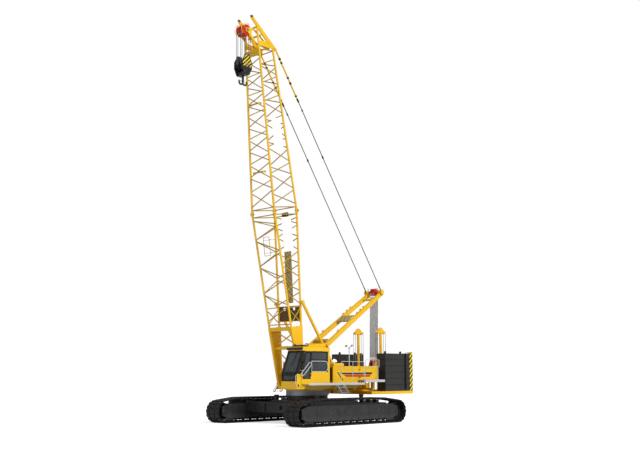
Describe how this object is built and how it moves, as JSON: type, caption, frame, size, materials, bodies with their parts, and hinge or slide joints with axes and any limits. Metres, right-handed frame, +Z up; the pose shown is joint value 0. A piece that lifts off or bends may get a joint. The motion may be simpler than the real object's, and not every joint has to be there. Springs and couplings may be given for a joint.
{
  "type": "lattice boom crawler crane",
  "caption": "Crawler crane with a short lattice boom, luffing mast and pendants, side cab, split counterweight and flat-shoe tracks, parked with its boom raised",
  "frame": {"origin": "on the ground, on the slewing axis, midway between the tracks", "axes": "+X forward along the boom side, +Y to the left (cab side), +Z up"},
  "size_m": [11.7432, 6.865, 21.2757],
  "materials": {
    "crane_yellow": "semi-gloss enamel",
    "undercarriage_paint": "satin enamel",
    "track_steel": "worn casting",
    "running_gear": "machined casting",
    "ring_steel": "machined",
    "grating": "galvanised grating",
    "engine_iron": "painted casting",
    "counterweight_grey": "matt enamel",
    "sheave_red": "enamel",
    "glass": "clear tinted",
    "seat_cloth": "woven",
    "console_plastic": "textured",
    "drum_steel": "enamel",
    "catwalk_mesh": "expanded mesh",
    "sign_white": "gloss sheet",
    "wire_rope": "stranded wire",
    "hook_black": "enamel"
  },
  "bodies": {
    "undercarriage": {"carbody": "undercarriage_paint", "slew_ring": "ring_steel", "track_left": "track_steel", "track_right": "track_steel", "track_frame_left": "undercarriage_paint", "track_frame_right": "undercarriage_paint", "drive_sprockets": "running_gear", "idler_wheels": "running_gear", "track_rollers": "running_gear", "assembly_jacks": "undercarriage_paint"},
    "upper_structure": {"main_frame": "crane_yellow", "side_decks": "crane_yellow", "walkways": "grating", "access_steps": "grating", "engine_house": "crane_yellow", "hydraulics_house": "crane_yellow", "engine_block": "engine_iron", "counterweight_tray": "crane_yellow", "counterweight_slabs": "counterweight_grey", "counterweight_posts": "crane_yellow", "rope_anchor": "crane_yellow", "anchor_sheaves": "sheave_red", "cab_shell": "crane_yellow", "cab_windows": "glass", "cab_roof": "crane_yellow", "operator_seat": "seat_cloth", "cab_consoles": "console_plastic"},
    "engine_door": {"engine_house_door": "crane_yellow"},
    "hydraulics_door": {"hydraulics_house_door": "crane_yellow"},
    "cab_sliding_door": {"cab_door": "crane_yellow", "cab_door_glass": "glass"},
    "front_hoist": {"front_hoist_drum": "drum_steel"},
    "rear_hoist": {"rear_hoist_drum": "drum_steel"},
    "luffing_winch": {"luffing_drum": "drum_steel"},
    "boom": {"boom_foot": "crane_yellow", "boom_lower_chords": "crane_yellow", "boom_lower_lacing": "crane_yellow", "boom_upper_chords": "crane_yellow", "boom_upper_lacing": "crane_yellow", "boom_head": "crane_yellow", "boom_catwalk": "catwalk_mesh", "boom_sign_boards": "sign_white", "boom_plates": "crane_yellow", "backstops": "crane_yellow"},
    "point_sheaves": {"boom_point_sheaves": "sheave_red"},
    "hook_tackle": {"hook_falls": "wire_rope", "hook_block": "hook_black"},
    "hook": {"hook": "hook_black"},
    "mast": {"mast": "crane_yellow"},
    "mast_sheaves": {"mast_head_sheaves": "sheave_red"},
    "pendants": {"pendant_bars": "crane_yellow", "pendant_ropes": "wire_rope"},
    "ropes_lower": {"luffing_ropes_lower": "wire_rope"},
    "ropes_middle": {"luffing_ropes_middle": "wire_rope"},
    "ropes_upper": {"luffing_ropes_upper": "wire_rope"}
  },
  "joints": [
    {"name": "slew", "type": "hinge", "parent": "undercarriage", "child": "upper_structure", "pos_m": [0, 0, 1.7], "axis": [0, 0, 1], "continuous": true},
    {"name": "boom_luff", "type": "hinge", "parent": "upper_structure", "child": "boom", "pos_m": [1.25, 0, 1.95], "axis": [0, 1, 0], "range_deg": [0, 52]},
    {"name": "mast_luff", "type": "hinge", "parent": "upper_structure", "child": "mast", "pos_m": [0.95, 0, 3.1], "axis": [0, 1, 0], "range_deg": [0, 60.67]},
    {"name": "pendant_swing", "type": "hinge", "parent": "boom", "child": "pendants", "pos_m": [3.10053, 0, 19.80578], "axis": [0, 1, 0], "range_deg": [-1, 2.38]},
    {"name": "lower_rope_swing", "type": "hinge", "parent": "upper_structure", "child": "ropes_lower", "pos_m": [-5.5, 0, 3.2], "axis": [0, 1, 0], "range_deg": [0, 43.25]},
    {"name": "middle_rope_slide", "type": "slide", "parent": "ropes_lower", "child": "ropes_middle", "axis": [-0.0172, 0, 0.9999], "range_m": [0, 3.114]},
    {"name": "upper_rope_swing", "type": "hinge", "parent": "mast", "child": "ropes_upper", "pos_m": [-5.57, 0, 7.28], "axis": [0, 1, 0], "range_deg": [-17.42, 0]},
    {"name": "hook_tackle_swing", "type": "hinge", "parent": "boom", "child": "hook_tackle", "pos_m": [4.88323, 0, 20.49555], "axis": [0, 1, 0], "range_deg": [-53, 0]},
    {"name": "hook_swivel", "type": "hinge", "parent": "hook_tackle", "child": "hook", "pos_m": [4.88323, 0, 17.89555], "axis": [0, 0, 1], "continuous": true},
    {"name": "point_sheave_turn", "type": "hinge", "parent": "boom", "child": "point_sheaves", "pos_m": [4.88323, 0, 20.49555], "axis": [0, 1, 0], "continuous": true},
    {"name": "mast_sheave_turn", "type": "hinge", "parent": "mast", "child": "mast_sheaves", "pos_m": [-5.57, 0, 7.28], "axis": [0, 1, 0], "continuous": true},
    {"name": "front_hoist_turn", "type": "hinge", "parent": "upper_structure", "child": "front_hoist", "pos_m": [-0.35, 0, 2.33], "axis": [0, 1, 0], "continuous": true},
    {"name": "rear_hoist_turn", "type": "hinge", "parent": "upper_structure", "child": "rear_hoist", "pos_m": [-1.9, 0, 2.33], "axis": [0, 1, 0], "continuous": true},
    {"name": "luffing_winch_turn", "type": "hinge", "parent": "upper_structure", "child": "luffing_winch", "pos_m": [-3.05, 0, 2.33], "axis": [0, 1, 0], "continuous": true},
    {"name": "engine_door_swing", "type": "hinge", "parent": "upper_structure", "child": "engine_door", "pos_m": [-3.497, 1.868, 2.57], "axis": [0, 0, 1], "range_deg": [0, 110]},
    {"name": "hydraulics_door_swing", "type": "hinge", "parent": "upper_structure", "child": "hydraulics_door", "pos_m": [-3.497, -1.868, 2.57], "axis": [0, 0, -1], "range_deg": [0, 110]},
    {"name": "cab_door_slide", "type": "slide", "parent": "upper_structure", "child": "cab_sliding_door", "axis": [-1, 0, 0], "range_m": [0, 0.75]}
  ],
  "couplings": [
    {"joint": "mast_luff", "follows": "boom_luff", "ratio": 1.1438},
    {"joint": "pendant_swing", "follows": "boom_luff", "ratio": 0.01693},
    {"joint": "lower_rope_swing", "follows": "boom_luff", "ratio": 0.81542},
    {"joint": "middle_rope_slide", "follows": "boom_luff", "m_per_rad": 3.3644},
    {"joint": "upper_rope_swing", "follows": "boom_luff", "ratio": -0.3284},
    {"joint": "hook_tackle_swing", "follows": "boom_luff", "ratio": -1}
  ]
}
